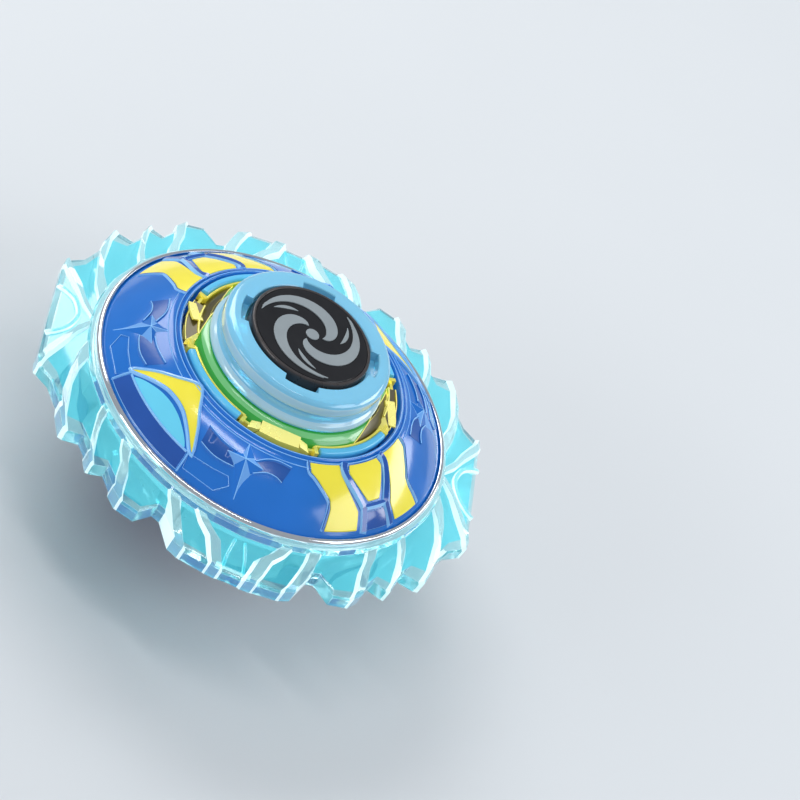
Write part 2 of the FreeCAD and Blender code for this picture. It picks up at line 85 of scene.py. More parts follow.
def material(name, colour, rough=0.3, metal=0.0, clear=0.0, ior=1.46, coat=0.0, glow=None,
             glow_strength=0.0, shift=0.12, blotch=160.0, grain=2600.0, bump=0.02, rough_spread=0.08):
    """A moulded or metal surface: colour drifts gently, roughness is uneven and the skin has fine grain. A
    glow is painted light on every part but the LEDs, which are lamps.
    """
    mat = bpy.data.materials.new(name)
    mat.use_nodes = True
    nodes = mat.node_tree.nodes
    links = mat.node_tree.links
    shader = nodes["Principled BSDF"]
    place = nodes.new("ShaderNodeTexCoord")

    drift = nodes.new("ShaderNodeTexNoise")
    drift.inputs["Scale"].default_value = blotch
    drift.inputs["Detail"].default_value = 3.0
    links.new(place.outputs["Object"], drift.inputs["Vector"])
    tint = nodes.new("ShaderNodeMix")
    tint.data_type = "RGBA"
    tint.inputs["A"].default_value = (*[c * (1 - shift) for c in colour], 1)
    tint.inputs["B"].default_value = (*[min(1.0, c * (1 + shift) + 0.01) for c in colour], 1)
    links.new(drift.outputs["Fac"], tint.inputs["Factor"])
    links.new(tint.outputs["Result"], shader.inputs["Base Color"])

    uneven = nodes.new("ShaderNodeTexNoise")
    uneven.inputs["Scale"].default_value = blotch * 4
    uneven.inputs["Detail"].default_value = 5.0
    links.new(place.outputs["Object"], uneven.inputs["Vector"])
    spread = nodes.new("ShaderNodeMapRange")
    spread.inputs["From Min"].default_value = 0.3
    spread.inputs["From Max"].default_value = 0.7
    spread.inputs["To Min"].default_value = max(0.0, rough - rough_spread / 2)
    spread.inputs["To Max"].default_value = rough + rough_spread / 2
    links.new(uneven.outputs["Fac"], spread.inputs["Value"])
    links.new(spread.outputs["Result"], shader.inputs["Roughness"])

    skin = nodes.new("ShaderNodeTexNoise")
    skin.inputs["Scale"].default_value = grain
    skin.inputs["Detail"].default_value = 2.0
    links.new(place.outputs["Object"], skin.inputs["Vector"])
    relief = nodes.new("ShaderNodeBump")
    relief.inputs["Strength"].default_value = bump
    relief.inputs["Distance"].default_value = 0.00005
    links.new(skin.outputs["Fac"], relief.inputs["Height"])
    links.new(relief.outputs["Normal"], shader.inputs["Normal"])

    shader.inputs["Metallic"].default_value = metal
    shader.inputs["IOR"].default_value = ior
    shader.inputs["Transmission Weight"].default_value = clear
    shader.inputs["Coat Weight"].default_value = coat
    shader.inputs["Coat Roughness"].default_value = 0.09
    if glow:
        shader.inputs["Emission Color"].default_value = (*glow, 1)
        shader.inputs["Emission Strength"].default_value = glow_strength
    return mat


# Glows here, all but the LEDs', are painted light: they make plastic and gold that are no lamp shine as if
# lit from inside.
BLADE = material("clear_cyan", (0.60, 0.90, 0.95), rough=0.05, clear=0.90, ior=1.45, coat=0.6,
                 glow=(0.10, 0.75, 0.90), glow_strength=0.05, shift=0.08, bump=0.02)
BLADE_TEAL = material("teal_panel", (0.14, 0.68, 0.80), rough=0.05, clear=0.72, ior=1.45, coat=0.6,
                      glow=(0.005, 0.62, 0.76), glow_strength=0.25, shift=0.26, blotch=120.0, bump=0.02)
# Bright edges of the blade ring and its loops: painted highlights.
BLADE_HIGHLIGHT = material("painted_highlight_edge", (0.90, 1.0, 1.0), rough=0.10, clear=0.25, coat=0.6,
                      glow=(0.65, 0.98, 1.0), glow_strength=0.40, shift=0.04)
# Pale band on the blade ring's rim; on its ridges and loops the same material is a painted highlight.
BLADE_BAND_AND_HIGHLIGHT = material("pale_band_and_painted_highlight", (0.62, 0.90, 0.96), rough=0.06, clear=0.75, ior=1.45, coat=0.8,
                      glow=(0.20, 0.82, 0.94), glow_strength=0.11, shift=0.10)
BLUE = material("royal_blue", (0.008, 0.17, 0.60), rough=0.15, clear=0.26, ior=1.42, coat=0.40, shift=0.30,
                blotch=70.0, glow=(0.006, 0.20, 0.70), glow_strength=0.12)
# Lighter blue on the dome's bead lines, ridge lines, rib sides and bevels: painted highlights.
BLUE_HIGHLIGHT = material("painted_highlight_blue", (0.26, 0.56, 0.92), rough=0.12, clear=0.15, coat=0.6,
                     glow=(0.18, 0.50, 0.95), glow_strength=0.16)
BLUE_DEEP = material("deep_blue", (0.004, 0.085, 0.42), rough=0.10, clear=0.10, coat=0.7, shift=0.2)
BLUE_CHANNEL = material("channel_blue", (0.004, 0.085, 0.38), rough=0.22, clear=0.10, ior=1.40, coat=0.15,
                        shift=0.18, glow=(0.004, 0.10, 0.42), glow_strength=0.05)
# Paler blue on alternate star facets and on the crescent trims' tops: painted light.
PAINTED_LIGHT_FACET = material("painted_light_facet_blue", (0.16, 0.40, 0.82), rough=0.12, clear=0.10, coat=0.5, shift=0.12,
                      glow=(0.06, 0.26, 0.75), glow_strength=0.10)
YELLOW = material("yellow_gloss", (0.91, 0.78, 0.045), rough=0.20, coat=0.6, shift=0.07, bump=0.04,
                  glow=(0.9, 0.75, 0.02), glow_strength=0.05)
SKY = material("sky_translucent", (0.22, 0.58, 0.80), rough=0.13, clear=0.20, ior=1.45, coat=0.7, shift=0.10,
               blotch=90.0, glow=(0.14, 0.50, 0.74), glow_strength=0.08)
# Lighter sky blue on the cap's lower wall and the barrel's flare: a painted sheen.
SKY_SHEEN = material("painted_sheen_sky", (0.46, 0.70, 0.80), rough=0.15, clear=0.20, ior=1.45, coat=0.9, shift=0.12,
                    blotch=60.0, glow=(0.35, 0.60, 0.72), glow_strength=0.06)
SKY_ARC = material("sky_arc", (0.10, 0.52, 0.82), rough=0.18, clear=0.05, coat=0.6, shift=0.08,
                   glow=(0.08, 0.50, 0.80), glow_strength=0.08)
CYAN_LENS = material("cyan_lens", (0.16, 0.68, 0.88), rough=0.10, clear=0.2, coat=0.7,
                     glow=(0.1, 0.7, 0.9), glow_strength=0.15)
GREEN = material("green_translucent", (0.03, 0.42, 0.05), rough=0.12, clear=0.25, coat=0.7, shift=0.2,
                 glow=(0.03, 0.45, 0.05), glow_strength=0.10)
GREEN_PALE = material("green_pale", (0.22, 0.68, 0.26), rough=0.12, clear=0.30, coat=0.7, shift=0.15,
                      glow=(0.18, 0.62, 0.20), glow_strength=0.12)
GOLD = material("gold_mirror", (1.0, 0.86, 0.16), rough=0.22, metal=0.65, coat=0.4, shift=0.06, bump=0.015,
                rough_spread=0.06, glow=(0.98, 0.78, 0.04), glow_strength=0.17)
# Dark olive on the gold frame's plate, lugs, block ends and saddles: a painted dark reflection in the mirror
# gold.
GOLD_DARK_REFLECTION = material("painted_reflection_olive", (0.070, 0.054, 0.010), rough=0.34, metal=0.3, coat=0.15, shift=0.25,
                 blotch=260.0, rough_spread=0.05)
# Pale gold on the frame's block tops, lug ends, bands and edges: painted highlights.
GOLD_HIGHLIGHT = material("painted_highlight_gold", (1.0, 0.90, 0.30), rough=0.26, metal=0.35, coat=0.5, shift=0.05, bump=0.015,
                     glow=(1.0, 0.86, 0.16), glow_strength=0.30)
CHROME = material("bezel_chrome", (0.80, 0.82, 0.86), rough=0.06, metal=1.0, shift=0.04, rough_spread=0.05)
BLACK = material("disc_black", (0.006, 0.006, 0.008), rough=0.22, ior=1.36, shift=0.2, bump=0.03)
DISC_WALL = material("disc_wall", (0.05, 0.043, 0.043), rough=0.3, metal=0.3, shift=0.1)
SILVER = material("silver_print", (0.30, 0.34, 0.36), rough=0.36, metal=0.30, shift=0.10, grain=5200.0,
                  bump=0.10)
# Dark teal in the gap round the emblem disc: a painted shadow.
TEAL_GAP_SHADE = material("painted_shade_teal_gap", (0.01, 0.16, 0.20), rough=0.3, shift=0.2)
NAVY = material("navy_matte", (0.012, 0.045, 0.19), rough=0.38, coat=0.1, shift=0.14, bump=0.12, grain=4200.0)
TIP_BLUE = material("tip_matte", (0.02, 0.05, 0.13), rough=0.42, shift=0.14, bump=0.14, grain=4200.0)
ZINC = material("tumbled_zinc", (0.46, 0.48, 0.50), rough=0.34, metal=1.0, shift=0.16, bump=0.22,
                grain=1900.0, rough_spread=0.18)
STEEL = material("turned_steel", (0.62, 0.63, 0.65), rough=0.24, metal=1.0, shift=0.10, rough_spread=0.14)
BRASS = material("turned_brass", (0.76, 0.56, 0.22), rough=0.26, metal=1.0, shift=0.12, rough_spread=0.14)
NICKEL = material("plated_nickel", (0.70, 0.69, 0.66), rough=0.22, metal=1.0, shift=0.08, rough_spread=0.14)
WHITE = material("natural_plastic", (0.70, 0.74, 0.78), rough=0.36, shift=0.05, bump=0.10, grain=3800.0)
BOARD = material("solder_mask", (0.015, 0.17, 0.05), rough=0.30, coat=0.4, shift=0.25, blotch=420.0,
                 bump=0.10)
CHIP = material("moulded_black", (0.02, 0.02, 0.022), rough=0.46, shift=0.2, bump=0.2, grain=5200.0)
LED = material("lit_led", (0.70, 0.97, 1.0), rough=0.08, clear=0.4, glow=(0.25, 0.85, 1.0), glow_strength=6.0)
FLOOR = material("pale_floor", (0.64, 0.66, 0.68), rough=0.62, shift=0.02, blotch=6.0, grain=700.0, bump=0.03)

# ---------------- mesh tools


def polar(degrees, radius, height):
    turn = math.radians(degrees)
    return (radius * math.cos(turn), radius * math.sin(turn), height)


def piece(name, verts, faces, mats, body, marks=None, sharp=32.0):
    """A mesh object that rides a body. marks gives each face's material number."""
    mesh = bpy.data.meshes.new(name)
    mesh.from_pydata([Vector(v) * MM for v in verts], [], faces)
    for mat in mats:
        mesh.materials.append(mat)
    if marks:
        mesh.polygons.foreach_set("material_index", marks)
    mesh.validate()
    mesh.polygons.foreach_set("use_smooth", [True] * len(mesh.polygons))
    mesh.set_sharp_from_angle(angle=math.radians(sharp))
    obj = bpy.data.objects.new(name, mesh)
    bpy.context.scene.collection.objects.link(obj)
    if body:
        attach(obj, body)
    return obj


def bevel(obj, width, segments=2, angle=32.0, mat=-1):
    mod = obj.modifiers.new("bevel", "BEVEL")
    mod.width = width * MM
    mod.segments = segments
    mod.limit_method = "ANGLE"
    mod.angle_limit = math.radians(angle)
    mod.harden_normals = True
    mod.material = mat
    return obj


class Build:
    """Collects faces of one mesh from several solids."""

    def __init__(self):
        self.verts = []
        self.faces = []
        self.marks = []

    def grid(self, rows, mark=0, closed_rows=False, closed_columns=False):
        """Quads between rows of points. Returns the index of the first vertex."""
        first = len(self.verts)
        width = len(rows[0])
        for row in rows:
            self.verts += row
        row_count = len(rows)
        for i in range(row_count if closed_rows else row_count - 1):
            for j in range(width if closed_columns else width - 1):
                a = first + i * width + j
                b = first + i * width + (j + 1) % width
                c = first + (i + 1) % row_count * width + (j + 1) % width
                d = first + (i + 1) % row_count * width + j
                self.faces.append((a, b, c, d))
                self.marks.append(mark[j] if isinstance(mark, (list, tuple)) else mark)
        return first

    def cap(self, indices, mark=0):
        self.faces.append(tuple(indices))
        self.marks.append(mark)

    def ends(self, first, last, count, mark=0):
        """Close the ends of a tube, whose end loops of count points start at first and at last."""
        self.cap([first + i for i in range(count)], mark)
        self.cap([last + i for i in reversed(range(count))], mark)

    def lathe(self, profile, segments, mark=0, closed=True):
        """Turn an outline of (radius, height) round the axis. Returns the index of the first vertex."""
        rows = [[polar(360 * i / segments, r, z) for r, z in profile] for i in range(segments)]
        return self.grid(rows, mark, closed_rows=True, closed_columns=closed)

    def sweep(self, profile, start, end, count):
        """Turn a closed outline of (radius, height) through part of a turn."""
        rows = [[polar(a, r, z) for r, z in profile] for a in steps(start, end, count)]
        first = self.grid(rows, closed_columns=True)
        width = len(profile)
        self.ends(first, first + count * width, width)

    def loft(self, lower, upper, mark=0, side_marks=None):
        """A block between two outlines of (degrees, radius, height) with the same number of points."""
        count = len(lower)
        rows = [[polar(*p) for p in outline] for outline in (upper, lower)]
        first = self.grid(rows, side_marks or [mark] * count, closed_columns=True)
        self.ends(first, first + count, count, mark)

    def prism(self, outline, bottom, top):
        """Extrude an outline of (degrees, radius) points, given anticlockwise from above."""
        self.loft([(a, r, bottom) for a, r in outline], [(a, r, top) for a, r in outline])

    def strip(self, path, base, crest, height, sink=0.12, closed=False, mark=0, side_mark=1):
        """A rib of trapezoid section along (degrees, radius, height) points.

        base is half its width at the foot, or gives it along the path. crest is the share left on top."""
        centre = [Vector(polar(*p)) for p in path]
        count = len(centre)
        rows = []
        for i, c in enumerate(centre):
            before = centre[(i - 1) % count] if closed or i else c
            after = centre[(i + 1) % count] if closed or i < count - 1 else c
            along = after - before
            side = Vector((-along.y, along.x, 0)).normalized()
            taper = base(i / (count - 1)) if callable(base) else base
            flat = taper * crest
            rows.append([
                tuple(c + side * taper + Vector((0, 0, -sink))),
                tuple(c + side * flat + Vector((0, 0, height))),
                tuple(c - side * flat + Vector((0, 0, height))),
                tuple(c - side * taper + Vector((0, 0, -sink))),
            ])
        first = self.grid(rows, [side_mark, mark, side_mark, mark], closed_rows=closed, closed_columns=True)
        if not closed:
            self.ends(first, first + 4 * (count - 1), 4, side_mark)

    def patch(self, rows, thickness, mark=0, side_mark=None):
        """A curved plate: rows of points on its top, its underside lower by thickness."""
        side_mark = mark if side_mark is None else side_mark
        width, count = len(rows[0]), len(rows)
        top = self.grid(rows, mark)
        under = [[(x, y, z - thickness) for x, y, z in row] for row in rows]
        bottom = len(self.verts)
        for row in under:
            self.verts += row
        for i in range(count - 1):
            for j in range(width - 1):
                a = bottom + i * width + j
                self.faces.append((a, a + width, a + width + 1, a + 1))
                self.marks.append(mark)
        rim = [(i, 0) for i in range(count - 1)] + [(count - 1, j) for j in range(width - 1)]
        rim += [(i, width - 1) for i in range(count - 1, 0, -1)] + [(0, j) for j in range(width - 1, 0, -1)]
        for (i, j), (k, m) in zip(rim, rim[1:] + rim[:1]):
            self.faces.append((top + i * width + j, top + k * width + m,
                               bottom + k * width + m, bottom + i * width + j))
            self.marks.append(side_mark)

    def make(self, name, mats, body, slot, sharp=32.0):
        return piece(name, self.verts, self.faces, mats, body, self.marks, sharp)


def outward(obj):
    """Make every face of a piece look outward."""
    mesh = bmesh.new()
    mesh.from_mesh(obj.data)
    bmesh.ops.recalc_face_normals(mesh, faces=mesh.faces)
    mesh.to_mesh(obj.data)
    mesh.free()
    return obj


def rounded(profile, radius, parts=4):
    """Round each corner of a closed (radius, height) outline."""
    points = []
    count = len(profile)
    for i, corner in enumerate(profile):
        here = Vector((*corner, 0))
        before = Vector((*profile[i - 1], 0)) - here
        after = Vector((*profile[(i + 1) % count], 0)) - here
        reach = min(radius, before.length * 0.45, after.length * 0.45)
        start = here + before.normalized() * reach
        end = here + after.normalized() * reach
        for k in range(parts + 1):
            t = k / parts
            p = start * (1 - t) ** 2 + here * 2 * t * (1 - t) + end * t ** 2
            points.append((p.x, p.y))
    return points


def smooth_path(points, parts=6):
    """A Catmull-Rom curve through tuples of any length."""
    last = len(points) - 1
    result = []
    for i in range(last):
        p = [points[max(0, min(last, i + k))] for k in (-1, 0, 1, 2)]
        for s in range(parts):
            t = s / parts
            result.append(tuple(
                0.5 * (2 * b + (c - a) * t + (2 * a - 5 * b + 4 * c - d) * t * t
                       + (3 * b - a - 3 * c + d) * t ** 3)
                for a, b, c, d in zip(*p)))
    result.append(tuple(points[-1]))
    return result


def between(a, b, t):
    return a + (b - a) * t


def steps(start, end, count):
    return [between(start, end, i / count) for i in range(count + 1)]


def follow(table, x):
    """Straight-line interpolation in a table of (x, value) pairs."""
    if x <= table[0][0]:
        return table[0][1]
    for (x0, v0), (x1, v1) in zip(table, table[1:]):
        if x <= x1:
            return between(v0, v1, (x - x0) / (x1 - x0))
    return table[-1][1]


# ---------------- the dome's surface


def circle_through(a, b, c):
    d = 2 * (a[0] * (b[1] - c[1]) + b[0] * (c[1] - a[1]) + c[0] * (a[1] - b[1]))
    squares = [p[0] ** 2 + p[1] ** 2 for p in (a, b, c)]
    x = (squares[0] * (b[1] - c[1]) + squares[1] * (c[1] - a[1]) + squares[2] * (a[1] - b[1])) / d
    z = (squares[0] * (c[0] - b[0]) + squares[1] * (a[0] - c[0]) + squares[2] * (b[0] - a[0])) / d
    return x, z, math.hypot(a[0] - x, a[1] - z)


DOME_X, DOME_Z, DOME_BEND = circle_through(DOME_EDGE, DOME_MID, DOME_TOP)


def dome_z(radius):
    reach = max(0.0, DOME_BEND ** 2 - (radius - DOME_X) ** 2)
    return DOME_Z + math.sqrt(reach)


def on_dome(degrees, radius, lift=0.0):
    return (degrees, radius, dome_z(radius) + lift)


def dome_patch(build, middle, left, right, radii, lift, thickness):
    """A plate on the dome between two edges, each giving degrees at a radius."""
    rows = []
    for r in radii:
        rows.append([polar(*on_dome(middle + a, r, lift)) for a in steps(right(r), left(r), 8)])
    build.patch(rows, thickness)


# ---------------- blade ring

RIM_BAND_R = (25.15, 26.35)
PANEL_R = 26.6
# Stations of a quarter, from the middle of a cluster to the middle of a wing: degrees at the rim,
# half way out and at the tip, the tip's radius, and how high the surface stands (0 panel, 1 ridge)
STATIONS = (
    (0.0, 0.0, 0.0, 31.9, 0.0),
    (0.4, 8.2, 15.4, 33.0, 0.0),
    (0.9, 9.0, 16.2, 33.2, 1.0),
    (3.2, 11.6, 18.8, 33.4, 1.0),
    (3.8, 12.4, 19.4, 33.1, 0.0),
    (6.4, 16.2, 23.0, 31.8, 0.0),
    (9.0, 19.0, 29.6, 31.6, 0.0),
    (9.6, 19.8, 32.0, 32.2, 1.0),
    (15.8, 24.6, 37.6, 33.2, 1.0),
    (16.4, 25.4, 38.6, 32.8, 0.0),
    (22.0, 29.6, 40.6, 30.8, 0.0),
    (33.4, 38.6, 44.6, 31.2, 0.0),
    (34.0, 39.2, 45.6, 31.8, 1.0),
    (36.4, 41.6, 48.4, 32.6, 1.0),
    (37.0, 42.2, 49.0, 32.3, 0.0),
    (41.0, 46.0, 51.0, 30.6, 0.0),
    (45.6, 51.6, 55.4, 31.6, 0.0),
    (46.2, 52.2, 56.2, 32.3, 1.0),
    (49.6, 55.2, 59.4, 33.0, 1.0),
    (50.4, 56.0, 60.1, 32.9, 0.0),
    (60.0, 62.6, 64.4, 32.4, 0.0),
    (63.4, 65.2, 66.6, 29.4, 0.0),
    (65.4, 67.6, 69.0, 29.4, 0.0),
    (66.1, 69.8, 74.4, 32.6, 1.0),
    (69.4, 72.8, 77.2, 33.0, 1.0),
    (70.2, 73.6, 78.0, 33.0, 0.0),
    (74.6, 80.6, 83.8, 33.0, 0.0),
    (75.4, 81.4, 84.4, 33.05, 1.0),
    (78.2, 84.4, 86.8, 33.05, 1.0),
    (79.2, 85.4, 87.6, 32.9, -0.5),
    (90.0, 90.0, 90.0, 32.8, -0.5),
)


RIDGE_RISE = 0.9
# Over a section's top, from the rim to the tip: how far a panel lies below the rim's top, and what
# share of the rise a ridge has there
TOP_DROPS = ((0.70, 0.45), (0.95, 0.70), (1.10, 0.85), (1.55, 0.75), (1.85, 0.65), (2.15, 0.50))
TIP_UNDER = max(BLADE_LOW + 0.15, BLADE_HIGH - 3.75)


def blade_section(station):
    """One cross-section of the blade ring, from the inner rim over the top and round below."""
    rim, middle, tip, reach, lift = station
    half = between(PANEL_R, reach, 0.46)
    crossing = [
        (rim, PANEL_R), (between(rim, middle, 0.45), between(PANEL_R, half, 0.5)), (middle, half),
        (between(middle, tip, 0.70), between(PANEL_R, reach, 0.84)), (tip, reach - 0.25), (tip, reach),
    ]
    top = [(a, r, BLADE_HIGH - drop + share * RIDGE_RISE * lift)
           for (a, r), (drop, share) in zip(crossing, TOP_DROPS)]
    inner, outer = RIM_BAND_R
    return [
        (rim, inner, BLADE_HIGH - 1.6), (rim, inner, BLADE_HIGH), (rim, outer, BLADE_HIGH), *top,
        (tip, reach - 0.1, TIP_UNDER), (middle, half + 0.2, BLADE_LOW + 0.3),
        (rim, PANEL_R + 0.3, BLADE_LOW), (rim, inner, BLADE_LOW),
    ]


TOP_COLUMNS = range(3, 9)      # quads of a section that lie on the panels and the ridges
PANEL_COLUMNS = range(3, 6)
RIM_COLUMNS = (1,)
HALF_WAY_POINT = 5             # of a section's points, the one half way out
RIDGE_OVER = BLADE_HIGH - 0.8  # a ridge stands higher than this there, a panel lower


def mirrored(section, about):
    return [(2 * about - a, r, z) for a, r, z in section]


def blade_marks(full):
    """Material numbers: the rim's pale band, painted highlight bands on the ridges, painted highlights on the
    flanks, and teal with a painted glow on the inner panels.
    """
    lifts = [s[HALF_WAY_POINT][2] > RIDGE_OVER for s in full]
    marks = []
    for i, here in enumerate(lifts):
        after = lifts[(i + 1) % len(full)]
        for j in range(len(full[0])):
            if j in RIM_COLUMNS or j in TOP_COLUMNS and here and after:
                marks.append(2)
            elif j in TOP_COLUMNS and here != after:
                marks.append(1)
            else:
                marks.append(3 if j in PANEL_COLUMNS else 0)
    return marks


def make_blade_ring():
    quarter = [blade_section(s) for s in STATIONS]
    half_turn = quarter + [mirrored(s, 90) for s in reversed(quarter[:-1])]
    full = half_turn[:-1] + [[(a + 180, r, z) for a, r, z in s] for s in half_turn[:-1]]
    build = Build()
    build.grid([[polar(*p) for p in s] for s in full], 0, closed_rows=True, closed_columns=True)
    build.marks = blade_marks(full)
    mats = [BLADE, BLADE_HIGHLIGHT, BLADE_BAND_AND_HIGHLIGHT, BLADE_TEAL]
    ring = outward(build.make("blade_ring_visual", mats, "ring", "clear_blades", 38))
    # The bevels take the bright edge material: painted highlight lines.
    bevel(ring, 0.16, 3, 30, mat=1)
    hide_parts("blade_ring")


WING_BAR = ((1.5, 27.2, 20.0), (2.4, 29.8, 19.6), (2.6, 32.2, 19.1))


def make_blade_loops():
    """A raised loop in the middle of each cluster and, on each wing, two short bars and a cross bar."""
    loops = Build()
    for turn in (0, 180):
        path = [(-8.6, 32.2, 19.75), (-7.6, 30.8, 20.05), (-5.0, 29.2, 20.45), (0, 28.3, 20.6),
                (5.0, 29.2, 20.45), (7.6, 30.8, 20.05), (8.6, 32.2, 19.75)]
        path = [(a + turn, r, z) for a, r, z in smooth_path(path, 5)]
        loops.strip(path, 0.42, 0.6, 0.32)
    for turn in (90, 270):
        for side in (-1, 1):
            bar = [(turn + side * a, r, z) for a, r, z in WING_BAR]
            loops.strip(bar, 0.26, 0.6, 0.30)
        loops.strip([(turn + a, 31.9, 19.2) for a in steps(-4.4, 4.4, 8)], 0.20, 0.6, 0.28)
    # The loops and bars carry painted highlights: the pale band material on their tops, the bright edge
    # material on their sides.
    loops = outward(loops.make("blade_loops", [BLADE_BAND_AND_HIGHLIGHT, BLADE_HIGHLIGHT], "ring", "clear_blades"))
    bevel(loops, 0.06, 2, 30)


make_blade_ring()
make_blade_loops()

# ---------------- dome ring


POST_CIRCLE_R = 21.2
POST_ANGLES = (45, 135, 225, 315)
POST_R = 1.9
POST_BORE_R = 1.1
POST_TOP = 23.2


def make_dome_shell():
    build = Build()
    top = [(r, dome_z(r)) for r in steps(DOME_R, 17.3, 18)]
    beads = [(17.2, 27.86), (17.05, 28.02), (16.9, 27.92), (16.8, 27.78), (16.68, 27.96), (16.55, 28.14),
             (16.42, 28.2), (16.28, 28.16), (16.17, 28.02)]
    under = [(DOME_BORE_R, 22.6), (16.9, 22.6), (16.9, 26.6)]
    under += [(r, dome_z(r) - DOME_SKIN) for r in steps(17.4, 23.4, 8)]
    floor_low, floor_high = DOME_FLOOR
    under += [(23.5, floor_high), (18.6, floor_high), (18.6, floor_low), (DOME_R, floor_low)]
    build.lathe(top + beads + under, DOME_SIDES)
    shell = outward(build.make("dome_shell", [BLUE], "ring", "blue_clear", 40))
    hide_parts("dome_ring")


def make_dome_posts():
    """Hollow posts that stand on the dome's floor round the assembly screws."""
    posts = Build()
    foot = DOME_FLOOR[1]
    for angle in POST_ANGLES:
        x, y, _ = polar(angle, POST_CIRCLE_R, 0)
        rows = []
        for radius, z in ((POST_R, foot), (POST_R, POST_TOP), (POST_BORE_R, POST_TOP), (POST_BORE_R, foot)):
            circle = [polar(15 * i, radius, z) for i in range(24)]
            rows.append([(x + dx, y + dy, height) for dx, dy, height in circle])
        posts.grid(rows, 0, closed_rows=True, closed_columns=True)
    outward(posts.make("dome_posts", [BLUE], "ring", "blue_clear"))


# Radius, half width and height of the thin lighter lines that run round the dome's inner edge; their lighter
# blue is a painted highlight
BEAD_LINES = ((16.42, 0.07, 28.19), (17.05, 0.06, 28.0), (17.9, 0.05, dome_z(17.9) + 0.05))


def make_bead_lines():
    build = Build()
    for radius, half, z in BEAD_LINES:
        path = [(a, radius, z) for a in steps(0, 357.5, 143)]
        build.strip(path, half, 0.5, 0.04, 0.05, closed=True, side_mark=0)
    outward(build.make("dome_bead_lines", [BLUE_HIGHLIGHT], "ring", "blue_clear"))


# Edges of the tiles and the rib's arm: radius, and degrees from the middle of the group
MIDDLE_EDGE = ((17.0, 8.0), (18.2, 9.4), (21.7, 2.7))
SIDE_NEAR = ((16.9, 13.6), (18.4, 13.4), (22.6, 7.6), (24.35, 8.4))
SIDE_FAR = ((17.1, 28.5), (18.4, 27.6), (19.2, 24.6), (21.2, 19.3), (22.2, 19.0), (24.35, 20.6))
RIB_ARM = ((17.0, 10.9), (18.3, 11.4), (21.9, 5.6), (22.7, 5.3), (24.7, 6.0))
TILE_LIFT = 0.13
INLAY_THICK = 0.5


def make_tiles():
    build = Build()
    for middle in TILE_GROUPS:
        dome_patch(build, middle, lambda r: follow(MIDDLE_EDGE, r), lambda r: -follow(MIDDLE_EDGE, r),
                   steps(17.25, 21.7, 16), TILE_LIFT, INLAY_THICK)
        for side in (-1, 1):
            near = [(r, side * a) for r, a in SIDE_NEAR]
            far = [(r, side * a) for r, a in SIDE_FAR]
            if side > 0:
                near, far = far, near
            dome_patch(build, middle, lambda r, e=near: follow(e, r), lambda r, e=far: follow(e, r),
                       steps(17.15, 24.35, 24), TILE_LIFT, INLAY_THICK)
    tiles = outward(build.make("tile_inlays", [YELLOW], "ring", "yellow"))
    bevel(tiles, 0.10, 2, 40)
    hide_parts("yellow_tiles")


def make_tile_ribs():
    """The raised blue Y between the tiles and the borders of their outer sides, with painted highlights in
    lighter blue on their sides and bevels.
    """
    build = Build()
    for middle in TILE_GROUPS:
        for side in (-1, 1):
            arm = [(middle + side * a, r) for r, a in RIB_ARM]
            build.strip([on_dome(a, r) for a, r in smooth_path(arm, 5)], 0.62, 0.62, 0.42)
            edge = [(middle + side * (a + 1.1), r) for r, a in SIDE_FAR]
            build.strip([on_dome(a, r) for a, r in smooth_path(edge, 4)], 0.20, 0.5, 0.30)
        build.strip([on_dome(middle + a, 22.25) for a in steps(-4.6, 4.6, 8)], 0.42, 0.6, 0.40)
        build.patch([[polar(*on_dome(middle + a, r, 0.10)) for a in steps(4.3, -4.3, 6)]
                     for r in steps(22.8, 24.5, 6)], 0.4, 2)
    ribs = outward(build.make("tile_ribs", [BLUE_DEEP, BLUE_HIGHLIGHT, BLUE_DEEP], "ring", "blue_clear"))
    bevel(ribs, 0.05, 2, 30, mat=1)


# Edges of a crescent and its lens: degrees from the middle, and radius
CRESCENT_TOP = ((0, 16.75), (4, 17.4), (9, 18.9), (13.5, 20.3), (17, 21.8), (18.6, 22.6))
CRESCENT_UNDER = ((0, 19.75), (5, 19.95), (9, 20.5), (13, 21.3), (16.5, 22.2), (18.6, 22.7))
LENS_TOP = ((0, 20.65), (5, 20.85), (9, 21.3), (13, 22.0), (15.6, 22.7))
LENS_UNDER = 22.75
CRESCENT_HALF_TURN = 18.4
LENS_HALF_TURN = 15.4
TRIM_CORNER = (19.3, 22.9)


def smooth_follow(table, x):
    """Smooth, even interpolation of a table given for x from 0 up."""
    full = [(-x0, v) for x0, v in reversed(table[1:])] + list(table)
    curve = smooth_path(full, 8)
    return follow(curve, x)


def curved_rows(middle, angles, inner, outer, count, lift):
    """Rows of points on the dome, from one list of radii to another."""
    rows = []
    for k in range(count + 1):
        radii = [between(t, u, k / count) for t, u in zip(inner, outer)]
        rows.append([polar(*on_dome(middle + a, r, lift)) for a, r in zip(angles, radii)])
    return rows


def add_crescent(inlays, middle):
    angles = steps(CRESCENT_HALF_TURN, -CRESCENT_HALF_TURN, 48)
    top = [smooth_follow(CRESCENT_TOP, a) for a in angles]
    under = [smooth_follow(CRESCENT_UNDER, a) for a in angles]
    inlays.patch(curved_rows(middle, angles, top, under, 12, 0.14), INLAY_THICK)


def add_lens(lenses, middle):
    angles = steps(LENS_HALF_TURN, -LENS_HALF_TURN, 40)
    top = [smooth_follow(LENS_TOP, a) for a in angles]
    lenses.patch(curved_rows(middle, angles, top, [LENS_UNDER] * len(angles), 8, 0.06), 0.4)


